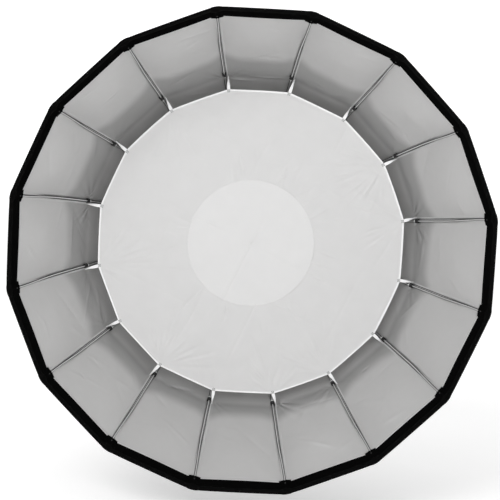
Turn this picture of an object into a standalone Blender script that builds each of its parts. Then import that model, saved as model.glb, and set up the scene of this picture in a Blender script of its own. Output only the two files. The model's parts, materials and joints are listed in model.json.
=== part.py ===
"""Deep octabox with sixteen folding ribs on a bayonet speed ring.

The axis of the light is the Y axis. The mouth faces -Y and the lamp sits at +Y. The origin is the centre of
the bayonet insert's rear face. All lengths are in metres.

Each rib is an empty on that rib's fold axis, with a rod, a knuckle and a canopy panel under it. In the rib's own
axes, +X runs away from the light's axis, +Y runs back to the lamp, and Z is the fold axis.
"""

import math

import bmesh
import bpy
from mathutils import Matrix, Vector

MM = 0.001
FIT_GAP = 0.3 * MM

# Canopy: a sixteen-sided bowl, with a parabola as the line of each rib.
RIB_COUNT = 16
RIB_STEP = 2 * math.pi / RIB_COUNT
HALF_STEP = RIB_STEP / 2
FLAT_OVER_CORNER = math.cos(HALF_STEP)
MOUTH_RADIUS = 600 * MM
CANOPY_DEPTH = 560 * MM
CANOPY_VERTEX_Y = -15 * MM
CANOPY_THICKNESS = 1.5 * MM
CANOPY_REAR_RADIUS = 104 * MM
PANEL_STATIONS = 12

# Rods: sprung steel, inside the canopy along its seams.
ROD_RADIUS = 3 * MM
ROD_SIDES = 6
ROD_START_RADIUS = 92 * MM
ROD_STRAIGHT_START = 14 * MM
ROD_END_SETBACK = 7 * MM
ROD_STATIONS = 12
STRAP_CLIP_RADIUS = 4.4 * MM
STRAP_CLIP_LENGTH = 9 * MM
TIP_CAP_RADIUS = 4.2 * MM
TIP_CAP_LENGTH = 20 * MM
ROD_INSET = CANOPY_THICKNESS + 2 * FIT_GAP + STRAP_CLIP_RADIUS

# Inner baffle: a flat cloth polygon on sixteen straps, with a round patch in its middle.
BAFFLE_Y = CANOPY_VERTEX_Y - CANOPY_DEPTH + 260 * MM
BAFFLE_CORNER_RADIUS = 401 * MM
BAFFLE_THICKNESS = 1.2 * MM
STRAP_ROOT_WIDTH = 14 * MM
STRAP_TIP_WIDTH = 8 * MM
PATCH_RADIUS = 164 * MM
PATCH_THICKNESS = 0.8 * MM
PATCH_SIDES = 32

# Bayonet insert: the collar and three lugs that go into the lamp.
RING_SIDES = 48
BORE_RADIUS = 49 * MM
COLLAR_RADIUS = 54 * MM
COLLAR_LENGTH = 12 * MM
LUG_RADIUS = 59.5 * MM
LUG_THICKNESS = 4 * MM
LUG_COUNT = 3
LUG_ARC = math.radians(34)
FLANGE_RADIUS = 70 * MM
FLANGE_THICKNESS = 4 * MM
NECK_RADIUS = 56 * MM
NECK_END_Y = -44.5 * MM
RETAINER_RADIUS = 59.5 * MM
RETAINER_THICKNESS = 3 * MM
FLANGE_FRONT_Y = -COLLAR_LENGTH - FLANGE_THICKNESS

# Hub: turns on the insert's neck and carries the pivot wire of the knuckles.
PIVOT_RADIUS = 80 * MM
PIVOT_Y = -32 * MM
HUB_BORE_RADIUS = NECK_RADIUS + 0.5 * MM
HUB_PLATE_RADIUS = 92 * MM
HUB_PLATE_REAR_Y = FLANGE_FRONT_Y - FIT_GAP
HUB_PLATE_FRONT_Y = HUB_PLATE_REAR_Y - 4 * MM
HUB_SLEEVE_RADIUS = 58.5 * MM
HUB_SLEEVE_END_Y = NECK_END_Y + 0.5 * MM
WIRE_RADIUS = 1.5 * MM
WIRE_SIDES = 6
EAR_INNER_RADIUS = 73.5 * MM
EAR_OUTER_RADIUS = 86.5 * MM
EAR_WIDTH = 12 * MM
EAR_END_Y = PIVOT_Y - 8.2 * MM
COVER_INNER_RADIUS = 68.5 * MM
COVER_OUTER_RADIUS = 77.5 * MM
COVER_THICKNESS = 3 * MM
HUB_BLOCK_INNER = 74.5 * MM
HUB_BLOCK_WIDTH = 18 * MM
HUB_BLOCK_REAR_Y = -6 * MM
REAR_HEM_INNER = HUB_PLATE_RADIUS + 2 * FIT_GAP
REAR_HEM_OUTER = 98.5 * MM
REAR_HEM_REAR_Y = -19.5 * MM
REAR_HEM_FRONT_Y = -26.5 * MM

# Knuckle: a bell crank. Its arm holds the rod and its heel runs in the runner's groove.
KNUCKLE_WIDTH = 10 * MM
KNUCKLE_BOSS_RADIUS = 5 * MM
KNUCKLE_ARM_END = 21 * MM
HEEL_LENGTH = 15 * MM
HEEL_RADIUS = 2.3 * MM
FOLD_ANGLE = math.radians(44)
HEEL_REST_ANGLE = FOLD_ANGLE / 2
SOCKET_GAP = 0.4 * MM

# Runner: slides on the hub's sleeve and keeps all the ribs in step.
RUNNER_BORE_RADIUS = HUB_SLEEVE_RADIUS + 0.7 * MM
RUNNER_FLOOR_RADIUS = 61.5 * MM
RUNNER_FLANGE_RADIUS = 67 * MM
RUNNER_FLANGE_THICKNESS = 2.4 * MM
RUNNER_GROOVE_HALF = HEEL_RADIUS + 1 * MM
RUNNER_Y = PIVOT_Y - HEEL_LENGTH * math.sin(HEEL_REST_ANGLE)

# Swivel lock: a thumbscrew through the hub's lower block, bearing on the insert's flange.
KNOB_Y = -COLLAR_LENGTH - FLANGE_THICKNESS / 2
KNOB_SHAFT_RADIUS = 2.5 * MM
KNOB_TIP_RADIUS_FROM_AXIS = FLANGE_RADIUS + 0.5 * MM
KNOB_HEAD_START = 100.5 * MM
KNOB_HEAD_LENGTH = 16 * MM
KNOB_HEAD_RADIUS = 11 * MM
KNOB_LOBE_HEIGHT = 1 * MM
KNOB_LOBES = 6
KNOB_SIDES = 24

# Release button: a sprung bar in the hub's upper block.
BUTTON_Y = -12.5 * MM
BUTTON_HALF_WIDTH = 5 * MM
BUTTON_HALF_HEIGHT = 3 * MM
BUTTON_INNER = 76 * MM
BUTTON_CAP_START = 96 * MM
BUTTON_CAP_END = 101 * MM
BUTTON_CAP_MARGIN = 2 * MM

SMOOTH_ANGLE = math.radians(35)


def clear_scene():
    """Removes everything that a new file holds."""
    for obj in list(bpy.data.objects):
        bpy.data.objects.remove(obj, do_unlink=True)
    for mesh in list(bpy.data.meshes):
        bpy.data.meshes.remove(mesh)


def plain_material(name, color, roughness, metallic=0.0):
    """A Principled material of one colour."""
    material = bpy.data.materials.new(name)
    material.use_nodes = True
    shader = material.node_tree.nodes["Principled BSDF"]
    shader.inputs["Base Color"].default_value = (*color, 1.0)
    shader.inputs["Roughness"].default_value = roughness
    shader.inputs["Metallic"].default_value = metallic
    material.diffuse_color = (*color, 1.0)
    return material


def loft(name, loops, ring=False):
    """A closed mesh through loops of equally many points: capped at both ends, or joined end to end as a ring."""
    sides = len(loops[0])
    points = [point for loop in loops for point in loop]
    faces = []
    for k in range(len(loops) if ring else len(loops) - 1):
        here = k * sides
        there = (k + 1) % len(loops) * sides
        for i in range(sides):
            j = (i + 1) % sides
            faces.append((here + i, here + j, there + j, there + i))
    if not ring:
        faces.append(tuple(range(sides)))
        faces.append(tuple(range(len(points) - sides, len(points))))
    mesh = bpy.data.meshes.new(name)
    mesh.from_pydata(points, [], faces)
    return finish_mesh(mesh)


def finish_mesh(mesh):
    """Turns every face outwards and shades the round stretches smooth."""
    work = bmesh.new()
    work.from_mesh(mesh)
    bmesh.ops.recalc_face_normals(work, faces=work.faces)
    work.to_mesh(mesh)
    work.free()
    mesh.shade_smooth()
    mesh.set_sharp_from_angle(angle=SMOOTH_ANGLE)
    return mesh


def turned(name, profile, sides=RING_SIDES):
    """A ring about the Y axis, turned from a closed outline of (radius, y) points."""
    loops = []
    for k in range(sides):
        angle = 2 * math.pi * k / sides
        loops.append([(r * math.cos(angle), y, r * math.sin(angle)) for r, y in profile])
    return loft(name, loops, ring=True)


def extruded(name, outline, depth, to_point):
    """A prism with a flat outline, half its depth to each side. to_point places (u, v, w) in space."""
    ends = (-depth / 2, depth / 2)
    return loft(name, [[to_point(u, v, w) for u, v in outline] for w in ends])


def arc(center, radius, start, stop, steps):
    """Points along an arc, both ends included."""
    angles = [start + (stop - start) * k / steps for k in range(steps + 1)]
    return [(center[0] + radius * math.cos(a), center[1] + radius * math.sin(a)) for a in angles]


def add_object(name, mesh, material, parent=None):
    """Puts a mesh in the scene as a named piece."""
    if not mesh.materials:
        mesh.materials.append(material)
    obj = bpy.data.objects.new(name, mesh)
    obj.parent = parent
    bpy.context.scene.collection.objects.link(obj)
    return obj


def combined(mesh, others, operation):
    """The mesh after a Boolean with each of the others in turn, as a plain mesh."""
    for other in others:
        base = bpy.data.objects.new("boolean_base", mesh)
        tool = bpy.data.objects.new("boolean_tool", other)
        bpy.context.scene.collection.objects.link(base)
        bpy.context.scene.collection.objects.link(tool)
        modifier = base.modifiers.new("cut", "BOOLEAN")
        modifier.operation = operation
        modifier.solver = "EXACT"
        modifier.object = tool
        bpy.context.view_layer.update()
        evaluated = base.evaluated_get(bpy.context.evaluated_depsgraph_get())
        mesh = bpy.data.meshes.new_from_object(evaluated)
        bpy.data.objects.remove(base, do_unlink=True)
        bpy.data.objects.remove(tool, do_unlink=True)
    return finish_mesh(mesh)


def radial_frame(angle):
    """Turns a piece that points along +X out to the given angle about the Y axis, from +X towards +Z."""
    return Matrix.Rotation(-angle, 4, "Y")


def rib_angle(index):
    """The angle of a rib's seam. Ribs sit beside the vertical, so the mouth has a flat at its top and bottom."""
    return HALF_STEP + RIB_STEP * index


def canopy_point(radius, inset):
    """A point (x, y) on a rib's line, given the canopy's outer radius there and a distance inwards from it."""
    slope = -2 * CANOPY_DEPTH * radius / MOUTH_RADIUS**2
    y = CANOPY_VERTEX_Y - CANOPY_DEPTH * (radius / MOUTH_RADIUS) ** 2
    outward = Vector((-slope, 1.0)).normalized()
    return Vector((radius, y)) - inset * outward


def rod_direction(radius):
    """The unit tangent of a rib's line, out to the mouth."""
    slope = -2 * CANOPY_DEPTH * radius / MOUTH_RADIUS**2
    return Vector((1.0, slope)).normalized()


def clip_canopy_radius():
    """The canopy's outer radius at the place on a rib where the rod crosses the baffle's plane."""
    radius = MOUTH_RADIUS / 2
    for _ in range(8):
        short = canopy_point(radius, ROD_INSET).y - BAFFLE_Y
        radius += short * MOUTH_RADIUS**2 / (2 * CANOPY_DEPTH * radius)
    return radius


def spaced(start, stop, steps):
    """Even values from start to stop, both included."""
    return [start + (stop - start) * k / steps for k in range(steps + 1)]


def to_rib(point, z=0.0):
    """A point (x, y) in the plane of a rib, in the axes of the rib's empty."""
    return (point[0] - PIVOT_RADIUS, point[1] - PIVOT_Y, z)


def rod_loop(radius, along, thickness):
    """A ring of points around the rod, at a canopy radius and a distance along the rod from there."""
    direction = rod_direction(radius)
    center = canopy_point(radius, ROD_INSET) + along * direction
    across = Vector((-direction.y, direction.x))
    loop = []
    for k in range(ROD_SIDES):
        angle = 2 * math.pi * k / ROD_SIDES
        offset = center + thickness * math.cos(angle) * across
        loop.append(to_rib(offset, thickness * math.sin(angle)))
    return loop


def rod_mesh():
    """A sprung rod along the seam, with the baffle strap's clip part way along and a cap on its tip."""
    clip_radius = clip_canopy_radius()
    end_radius = MOUTH_RADIUS - ROD_END_SETBACK
    loops = [rod_loop(ROD_START_RADIUS, along, ROD_RADIUS) for along in (0, ROD_STRAIGHT_START)]
    stations = spaced(ROD_START_RADIUS, end_radius, ROD_STATIONS)[1:-1]
    inner = [r for r in stations if r < clip_radius - STRAP_CLIP_LENGTH]
    outer = [r for r in stations if r > clip_radius + STRAP_CLIP_LENGTH]
    loops += [rod_loop(r, 0, ROD_RADIUS) for r in inner]
    for along, thickness in shoulder_pair(STRAP_CLIP_LENGTH, STRAP_CLIP_RADIUS):
        loops.append(rod_loop(clip_radius, along, thickness))
    loops += [rod_loop(r, 0, ROD_RADIUS) for r in outer]
    loops.append(rod_loop(end_radius, -TIP_CAP_LENGTH, ROD_RADIUS))
    loops.append(rod_loop(end_radius, -TIP_CAP_LENGTH, TIP_CAP_RADIUS))
    loops.append(rod_loop(end_radius, -ROD_RADIUS, TIP_CAP_RADIUS))
    loops.append(rod_loop(end_radius, 0, ROD_RADIUS / 2))
    return loft("rod", loops)


def shoulder_pair(length, thickness):
    """The four loops of a collar: rod, step up, step down, rod."""
    half = length / 2
    return [(-half, ROD_RADIUS), (-half, thickness), (half, thickness), (half, ROD_RADIUS)]


def panel_mesh():
    """One rib's share of the canopy: half a gore to each side of the seam, as thin as cloth."""
    loops = []
    for radius in spaced(CANOPY_REAR_RADIUS, MOUTH_RADIUS, PANEL_STATIONS):
        outer = canopy_point(radius, 0)
        inner = canopy_point(radius, CANOPY_THICKNESS)
        loops.append(panel_loop(outer, inner))
    return loft("canopy_panel", loops)


def panel_loop(outer, inner):
    """A panel's section: along the outer face from gore middle to gore middle, and back along the inner face."""
    loop = []
    for point, sides in ((outer, (-1, 0, 1)), (inner, (1, 0, -1))):
        for side in sides:
            flat_radius = point.x * FLAT_OVER_CORNER
            edge = (flat_radius * FLAT_OVER_CORNER, point.y)
            half_width = flat_radius * math.sin(HALF_STEP) - FIT_GAP / 2
            place = edge if side else point
            loop.append(to_rib(place, side * half_width))
    return loop


def knuckle_outline():
    """The bell crank's outline about its pivot: arm end, boss, heel, boss."""
    arm_start = canopy_point(ROD_START_RADIUS, ROD_INSET)
    direction = rod_direction(ROD_START_RADIUS)
    arm_angle = math.atan2(direction.y, direction.x)
    across = Vector((-direction.y, direction.x)) * KNUCKLE_BOSS_RADIUS
    socket = Vector(to_rib(arm_start)[:2])
    end = socket + direction * (KNUCKLE_ARM_END - socket.length)
    heel_angle = math.pi + HEEL_REST_ANGLE
    heel = (HEEL_LENGTH * math.cos(heel_angle), HEEL_LENGTH * math.sin(heel_angle))
    heel_spread = math.asin(HEEL_RADIUS / KNUCKLE_BOSS_RADIUS)
    quarter = math.pi / 2
    outline = [tuple(end - across), tuple(end + across)]
    outline += arc((0, 0), KNUCKLE_BOSS_RADIUS, arm_angle + quarter, heel_angle - heel_spread, 4)
    outline += arc(heel, HEEL_RADIUS, heel_angle - quarter, heel_angle + quarter, 4)
    outline += arc((0, 0), KNUCKLE_BOSS_RADIUS, heel_angle + heel_spread, arm_angle - quarter + 2 * math.pi, 2)
    return outline


def knuckle_mesh():
    """The bell crank, with a hole for the pivot wire and a blind socket for the rod."""
    body = extruded("knuckle", knuckle_outline(), KNUCKLE_WIDTH, lambda u, v, w: (u, v, w))
    wire_circle = arc((0, 0), WIRE_RADIUS + SOCKET_GAP, 0, 2 * math.pi, 8)[:-1]
    wire_hole = extruded("wire_hole", wire_circle, 2 * KNUCKLE_WIDTH, lambda u, v, w: (u, v, w))
    hole_radius = ROD_RADIUS + SOCKET_GAP
    socket = loft("rod_socket", [
        rod_loop(ROD_START_RADIUS, -SOCKET_GAP, hole_radius),
        rod_loop(ROD_START_RADIUS, KNUCKLE_ARM_END, hole_radius),
    ])
    return combined(body, [wire_hole, socket], "DIFFERENCE")


def pivot_wire_mesh():
    """The wire ring that the knuckles turn on: straight at each knuckle and bent between them."""
    loops = []
    for k in range(RIB_COUNT):
        frame = radial_frame(RIB_STEP * k)
        loop = []
        for x, y in arc((0, 0), WIRE_RADIUS, 0, 2 * math.pi, WIRE_SIDES)[:-1]:
            flat_radius = PIVOT_RADIUS + x
            loop.append(tuple(frame @ Vector((flat_radius / FLAT_OVER_CORNER, PIVOT_Y + y, 0))))
        loops.append(loop)
    return loft("pivot_wire", loops, ring=True)


def ear_mesh(index):
    """One ear of the hub: a fork, open to the front, that the pivot wire lies in."""
    corner = PIVOT_RADIUS / FLAT_OVER_CORNER
    bend = EAR_WIDTH / 2 * math.tan(HALF_STEP)
    slot_inner = corner - bend - WIRE_RADIUS - FIT_GAP
    slot_outer = corner + WIRE_RADIUS + FIT_GAP
    slot_floor = PIVOT_Y + WIRE_RADIUS + FIT_GAP
    root_y = (HUB_PLATE_REAR_Y + HUB_PLATE_FRONT_Y) / 2
    outline = [
        (EAR_INNER_RADIUS, root_y),
        (EAR_OUTER_RADIUS, root_y),
        (EAR_OUTER_RADIUS, EAR_END_Y),
        (slot_outer, EAR_END_Y),
        (slot_outer, slot_floor),
        (slot_inner, slot_floor),
        (slot_inner, EAR_END_Y),
        (EAR_INNER_RADIUS, EAR_END_Y),
    ]
    frame = radial_frame(RIB_STEP * index)
    return extruded("ear", outline, EAR_WIDTH, lambda u, v, w: tuple(frame @ Vector((u, v, w))))


def joined(name, meshes):
    """Several meshes that stay apart, as one mesh, for use as the other side of a Boolean."""
    work = bmesh.new()
    for mesh in meshes:
        work.from_mesh(mesh)
    result = bpy.data.meshes.new(name)
    work.to_mesh(result)
    work.free()
    return result


def box_mesh(name, low, high):
    """A box between two corners."""
    corners = [(low[0], low[1]), (high[0], low[1]), (high[0], high[1]), (low[0], high[1])]
    return loft(name, [[(x, y, z) for x, y in corners] for z in (low[2], high[2])])


def hub_block(name, up):
    """A block behind the hub's plate, above or below the axis. up is 1 or -1."""
    heights = sorted((up * HUB_BLOCK_INNER, up * HUB_PLATE_RADIUS))
    half = HUB_BLOCK_WIDTH / 2
    root_y = (HUB_PLATE_REAR_Y + HUB_PLATE_FRONT_Y) / 2
    return box_mesh(name, (-half, root_y, heights[0]), (half, HUB_BLOCK_REAR_Y, heights[1]))


def upright_cylinder(name, y, radius, low_z, high_z, sides):
    """A cylinder along Z on the plane x = 0."""
    circle = arc((0, y), radius, 0, 2 * math.pi, sides)[:-1]
    return loft(name, [[(x, v, z) for x, v in circle] for z in (low_z, high_z)])


def hub_mesh():
    """The speed ring: a plate and a sleeve on the insert's neck, ears for the wire, and the two blocks."""
    profile = [
        (HUB_BORE_RADIUS, HUB_PLATE_REAR_Y),
        (HUB_PLATE_RADIUS, HUB_PLATE_REAR_Y),
        (HUB_PLATE_RADIUS, HUB_PLATE_FRONT_Y),
        (HUB_SLEEVE_RADIUS, HUB_PLATE_FRONT_Y),
        (HUB_SLEEVE_RADIUS, HUB_SLEEVE_END_Y),
        (HUB_BORE_RADIUS, HUB_SLEEVE_END_Y),
    ]
    ring = turned("speed_ring", profile)
    ears = joined("ears", [ear_mesh(k) for k in range(RIB_COUNT)])
    blocks = joined("blocks", [hub_block("upper_block", 1), hub_block("lower_block", -1)])
    body = combined(ring, [ears, blocks], "UNION")
    reach = HUB_PLATE_RADIUS + HUB_BLOCK_WIDTH
    screw_hole = upright_cylinder("screw_hole", KNOB_Y, KNOB_SHAFT_RADIUS + FIT_GAP, -reach, -RETAINER_RADIUS, 12)
    button_slot = box_mesh(
        "button_slot",
        (-BUTTON_HALF_WIDTH - FIT_GAP, BUTTON_Y - BUTTON_HALF_HEIGHT - FIT_GAP, RETAINER_RADIUS),
        (BUTTON_HALF_WIDTH + FIT_GAP, BUTTON_Y + BUTTON_HALF_HEIGHT + FIT_GAP, reach),
    )
    return combined(body, [screw_hole, button_slot], "DIFFERENCE")


def lug_mesh(index):
    """One bayonet lug, standing out from the rear of the collar."""
    middle = 2 * math.pi * index / LUG_COUNT + math.pi / 2
    start, stop = middle - LUG_ARC / 2, middle + LUG_ARC / 2
    root = COLLAR_RADIUS - 1 * MM
    outline = arc((0, 0), LUG_RADIUS, start, stop, 6) + arc((0, 0), root, stop, start, 6)
    rear, front = -FIT_GAP, -FIT_GAP - LUG_THICKNESS
    return loft("lug", [[(x, y, z) for x, z in outline] for y in (rear, front)])


def insert_mesh():
    """The bayonet insert: collar, flange and the long neck that the hub turns on."""
    profile = [
        (BORE_RADIUS, 0),
        (COLLAR_RADIUS, 0),
        (COLLAR_RADIUS, -COLLAR_LENGTH),
        (FLANGE_RADIUS, -COLLAR_LENGTH),
        (FLANGE_RADIUS, FLANGE_FRONT_Y),
        (NECK_RADIUS, FLANGE_FRONT_Y),
        (NECK_RADIUS, NECK_END_Y),
        (BORE_RADIUS, NECK_END_Y),
    ]
    lugs = joined("lugs", [lug_mesh(k) for k in range(LUG_COUNT)])
    return combined(turned("bayonet_insert", profile), [lugs], "UNION")


def flat_ring(name, inner, outer, rear_y, front_y):
    """A plain ring of rectangular section."""
    return turned(name, [(inner, rear_y), (outer, rear_y), (outer, front_y), (inner, front_y)])


def runner_mesh():
    """The sliding ring, with a groove that every knuckle's heel runs in."""
    end = RUNNER_GROOVE_HALF + RUNNER_FLANGE_THICKNESS
    profile = [
        (RUNNER_BORE_RADIUS, RUNNER_Y + end),
        (RUNNER_FLANGE_RADIUS, RUNNER_Y + end),
        (RUNNER_FLANGE_RADIUS, RUNNER_Y + RUNNER_GROOVE_HALF),
        (RUNNER_FLOOR_RADIUS, RUNNER_Y + RUNNER_GROOVE_HALF),
        (RUNNER_FLOOR_RADIUS, RUNNER_Y - RUNNER_GROOVE_HALF),
        (RUNNER_FLANGE_RADIUS, RUNNER_Y - RUNNER_GROOVE_HALF),
        (RUNNER_FLANGE_RADIUS, RUNNER_Y - end),
        (RUNNER_BORE_RADIUS, RUNNER_Y - end),
    ]
    return turned("runner_ring", profile)


def knob_loop(height, radius, lobe):
    """A ring of points about the screw's axis, in its own axes. lobe is the height of the finger lobes."""
    loop = []
    for k in range(KNOB_SIDES):
        angle = 2 * math.pi * k / KNOB_SIDES
        reach = radius + lobe * math.cos(KNOB_LOBES * angle)
        loop.append((reach * math.cos(angle), reach * math.sin(angle), height))
    return loop


def knob_mesh():
    """The thumbscrew. Its origin is on its own axis where the head starts, and it points inwards along +Z."""
    tip = KNOB_HEAD_START - KNOB_TIP_RADIUS_FROM_AXIS
    chamfer = 2 * MM
    return loft("swivel_lock_knob", [
        knob_loop(tip, KNOB_SHAFT_RADIUS, 0),
        knob_loop(0, KNOB_SHAFT_RADIUS, 0),
        knob_loop(0, KNOB_HEAD_RADIUS, KNOB_LOBE_HEIGHT),
        knob_loop(chamfer - KNOB_HEAD_LENGTH, KNOB_HEAD_RADIUS, KNOB_LOBE_HEIGHT),
        knob_loop(-KNOB_HEAD_LENGTH, KNOB_HEAD_RADIUS - chamfer, 0),
    ])


def button_loop(height, half_width, half_height):
    """A rectangle of points across the button's travel."""
    corners = ((-1, -1), (1, -1), (1, 1), (-1, 1))
    return [(u * half_width, v * half_height, height) for u, v in corners]


def button_mesh():
    """The release button: a square bar with a wider cap. Its origin is under the cap."""
    cap_width = BUTTON_HALF_WIDTH + BUTTON_CAP_MARGIN
    cap_height = BUTTON_HALF_HEIGHT + BUTTON_CAP_MARGIN
    cap_length = BUTTON_CAP_END - BUTTON_CAP_START
    return loft("release_button", [
        button_loop(BUTTON_INNER - BUTTON_CAP_START, BUTTON_HALF_WIDTH, BUTTON_HALF_HEIGHT),
        button_loop(0, BUTTON_HALF_WIDTH, BUTTON_HALF_HEIGHT),
        button_loop(0, cap_width, cap_height),
        button_loop(cap_length, cap_width, cap_height),
    ])


def baffle_mesh():
    """The baffle and its straps as one sheet. Each strap runs out from a corner to the clip on its rod."""
    clip_radius = clip_canopy_radius()
    clip_reach = (STRAP_CLIP_RADIUS + BAFFLE_THICKNESS / 2 + 2 * FIT_GAP) / abs(rod_direction(clip_radius).y)
    strap_end = canopy_point(clip_radius, ROD_INSET).x - clip_reach
    strap_root = BAFFLE_CORNER_RADIUS - STRAP_ROOT_WIDTH / 2 * math.tan(HALF_STEP)
    outline = []
    for index in range(RIB_COUNT):
        frame = radial_frame(rib_angle(index))
        corners = (
            (strap_root, -STRAP_ROOT_WIDTH / 2),
            (strap_end, -STRAP_TIP_WIDTH / 2),
            (strap_end, STRAP_TIP_WIDTH / 2),
            (strap_root, STRAP_ROOT_WIDTH / 2),
        )
        outline += [(frame @ Vector((x, 0, z))).xz for x, z in corners]
    return extruded("inner_baffle", outline, BAFFLE_THICKNESS, lambda u, v, w: (u, BAFFLE_Y + w, v))


def patch_mesh():
    """The round second layer on the front of the baffle."""
    circle = arc((0, 0), PATCH_RADIUS, 0, 2 * math.pi, PATCH_SIDES)[:-1]
    middle = BAFFLE_Y - BAFFLE_THICKNESS / 2 - FIT_GAP - PATCH_THICKNESS / 2
    return extruded("baffle_patch", circle, PATCH_THICKNESS, lambda u, v, w: (u, middle + w, v))


def add_ribs():
    """The sixteen ribs, each under an empty on its fold axis."""
    steel = plain_material("rod_steel", (0.62, 0.62, 0.60), 0.3, 1.0)
    nylon = plain_material("knuckle_nylon", (0.03, 0.03, 0.03), 0.45)
    cloth = plain_material("canopy_cloth", (0.05, 0.05, 0.05), 0.8)
    rod, knuckle, panel = rod_mesh(), knuckle_mesh(), panel_mesh()
    for index in range(RIB_COUNT):
        number = f"{index + 1:02d}"
        pivot = bpy.data.objects.new(f"rib_pivot_{number}", None)
        angle = rib_angle(index)
        place = Vector((PIVOT_RADIUS * math.cos(angle), PIVOT_Y, PIVOT_RADIUS * math.sin(angle)))
        pivot.matrix_world = Matrix.Translation(place) @ radial_frame(angle)
        bpy.context.scene.collection.objects.link(pivot)
        add_object(f"rod_{number}", rod, steel, pivot)
        add_object(f"knuckle_{number}", knuckle, nylon, pivot)
        add_object(f"canopy_panel_{number}", panel, cloth, pivot)


def add_mount():
    """The insert that goes into the lamp, and the ring that keeps the hub on it."""
    metal = plain_material("insert_metal", (0.55, 0.55, 0.55), 0.3, 1.0)
    add_object("bayonet_insert", insert_mesh(), metal)
    rear = NECK_END_Y - FIT_GAP
    ring = flat_ring("retaining_ring", BORE_RADIUS, RETAINER_RADIUS, rear, rear - RETAINER_THICKNESS)
    add_object("retaining_ring", ring, plain_material("retainer_metal", (0.4, 0.4, 0.4), 0.35, 1.0))


def add_hub():
    """The hub, its cover and wire, the cloth hem around it, and the runner that slides on it."""
    black = plain_material("hub_black", (0.03, 0.03, 0.03), 0.4)
    add_object("speed_ring", hub_mesh(), black)
    rear = EAR_END_Y - FIT_GAP
    cover = flat_ring("cover_ring", COVER_INNER_RADIUS, COVER_OUTER_RADIUS, rear, rear - COVER_THICKNESS)
    add_object("cover_ring", cover, plain_material("cover_black", (0.04, 0.04, 0.04), 0.5))
    add_object("pivot_wire", pivot_wire_mesh(), plain_material("wire_steel", (0.6, 0.6, 0.6), 0.3, 1.0))
    hem = flat_ring("rear_hem", REAR_HEM_INNER, REAR_HEM_OUTER, REAR_HEM_REAR_Y, REAR_HEM_FRONT_Y)
    add_object("rear_hem", hem, plain_material("hem_cloth", (0.02, 0.02, 0.02), 0.9))
    add_object("runner_ring", runner_mesh(), plain_material("runner_nylon", (0.25, 0.25, 0.26), 0.45))


def add_controls():
    """The swivel lock below the axis and the release button above it."""
    knob = add_object("swivel_lock_knob", knob_mesh(), plain_material("knob_rubber", (0.02, 0.02, 0.02), 0.6))
    knob.location = (0, KNOB_Y, -KNOB_HEAD_START)
    button = add_object("release_button", button_mesh(), plain_material("button_red", (0.5, 0.03, 0.02), 0.4))
    button.location = (0, BUTTON_Y, BUTTON_CAP_START)


def add_baffle():
    """The inner baffle and the patch on its middle."""
    add_object("inner_baffle", baffle_mesh(), plain_material("baffle_cloth", (0.85, 0.85, 0.84), 0.9))
    add_object("baffle_patch", patch_mesh(), plain_material("patch_cloth", (0.92, 0.92, 0.91), 0.9))


def main():
    clear_scene()
    add_mount()
    add_hub()
    add_controls()
    add_baffle()
    add_ribs()
    bpy.context.view_layer.update()


main()
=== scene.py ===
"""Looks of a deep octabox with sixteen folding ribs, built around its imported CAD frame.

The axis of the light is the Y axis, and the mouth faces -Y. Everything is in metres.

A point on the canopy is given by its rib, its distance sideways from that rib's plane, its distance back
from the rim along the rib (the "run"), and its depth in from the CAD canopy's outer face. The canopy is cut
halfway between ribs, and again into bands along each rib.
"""

import json
import math

import bmesh
import bpy
import numpy as np
from mathutils import Matrix, Vector
from numpy.random import default_rng


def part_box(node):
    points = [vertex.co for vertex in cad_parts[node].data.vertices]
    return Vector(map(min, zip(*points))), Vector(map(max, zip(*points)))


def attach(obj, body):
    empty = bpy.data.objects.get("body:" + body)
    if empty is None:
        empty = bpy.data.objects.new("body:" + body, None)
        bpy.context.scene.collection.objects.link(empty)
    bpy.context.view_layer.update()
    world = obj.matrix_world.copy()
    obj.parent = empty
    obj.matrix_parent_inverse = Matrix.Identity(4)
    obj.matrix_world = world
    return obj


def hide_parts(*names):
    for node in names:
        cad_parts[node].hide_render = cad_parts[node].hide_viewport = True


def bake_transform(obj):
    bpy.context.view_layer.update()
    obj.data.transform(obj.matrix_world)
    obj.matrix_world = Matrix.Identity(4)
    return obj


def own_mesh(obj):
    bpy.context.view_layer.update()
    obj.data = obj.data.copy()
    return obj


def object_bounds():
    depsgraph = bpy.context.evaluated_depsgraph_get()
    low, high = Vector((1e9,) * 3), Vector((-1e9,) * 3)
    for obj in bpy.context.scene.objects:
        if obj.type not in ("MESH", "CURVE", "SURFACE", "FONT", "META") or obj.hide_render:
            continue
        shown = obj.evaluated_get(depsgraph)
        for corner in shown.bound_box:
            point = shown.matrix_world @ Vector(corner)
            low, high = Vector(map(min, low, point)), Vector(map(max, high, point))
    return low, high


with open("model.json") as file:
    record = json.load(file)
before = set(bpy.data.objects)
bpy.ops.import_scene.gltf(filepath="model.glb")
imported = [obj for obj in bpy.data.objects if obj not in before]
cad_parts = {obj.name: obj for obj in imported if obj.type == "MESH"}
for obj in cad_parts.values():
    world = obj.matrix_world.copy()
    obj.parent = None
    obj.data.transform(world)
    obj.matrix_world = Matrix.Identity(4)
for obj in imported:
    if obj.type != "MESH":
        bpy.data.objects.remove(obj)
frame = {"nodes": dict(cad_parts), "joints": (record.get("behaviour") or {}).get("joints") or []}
cad_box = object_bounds()

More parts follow.
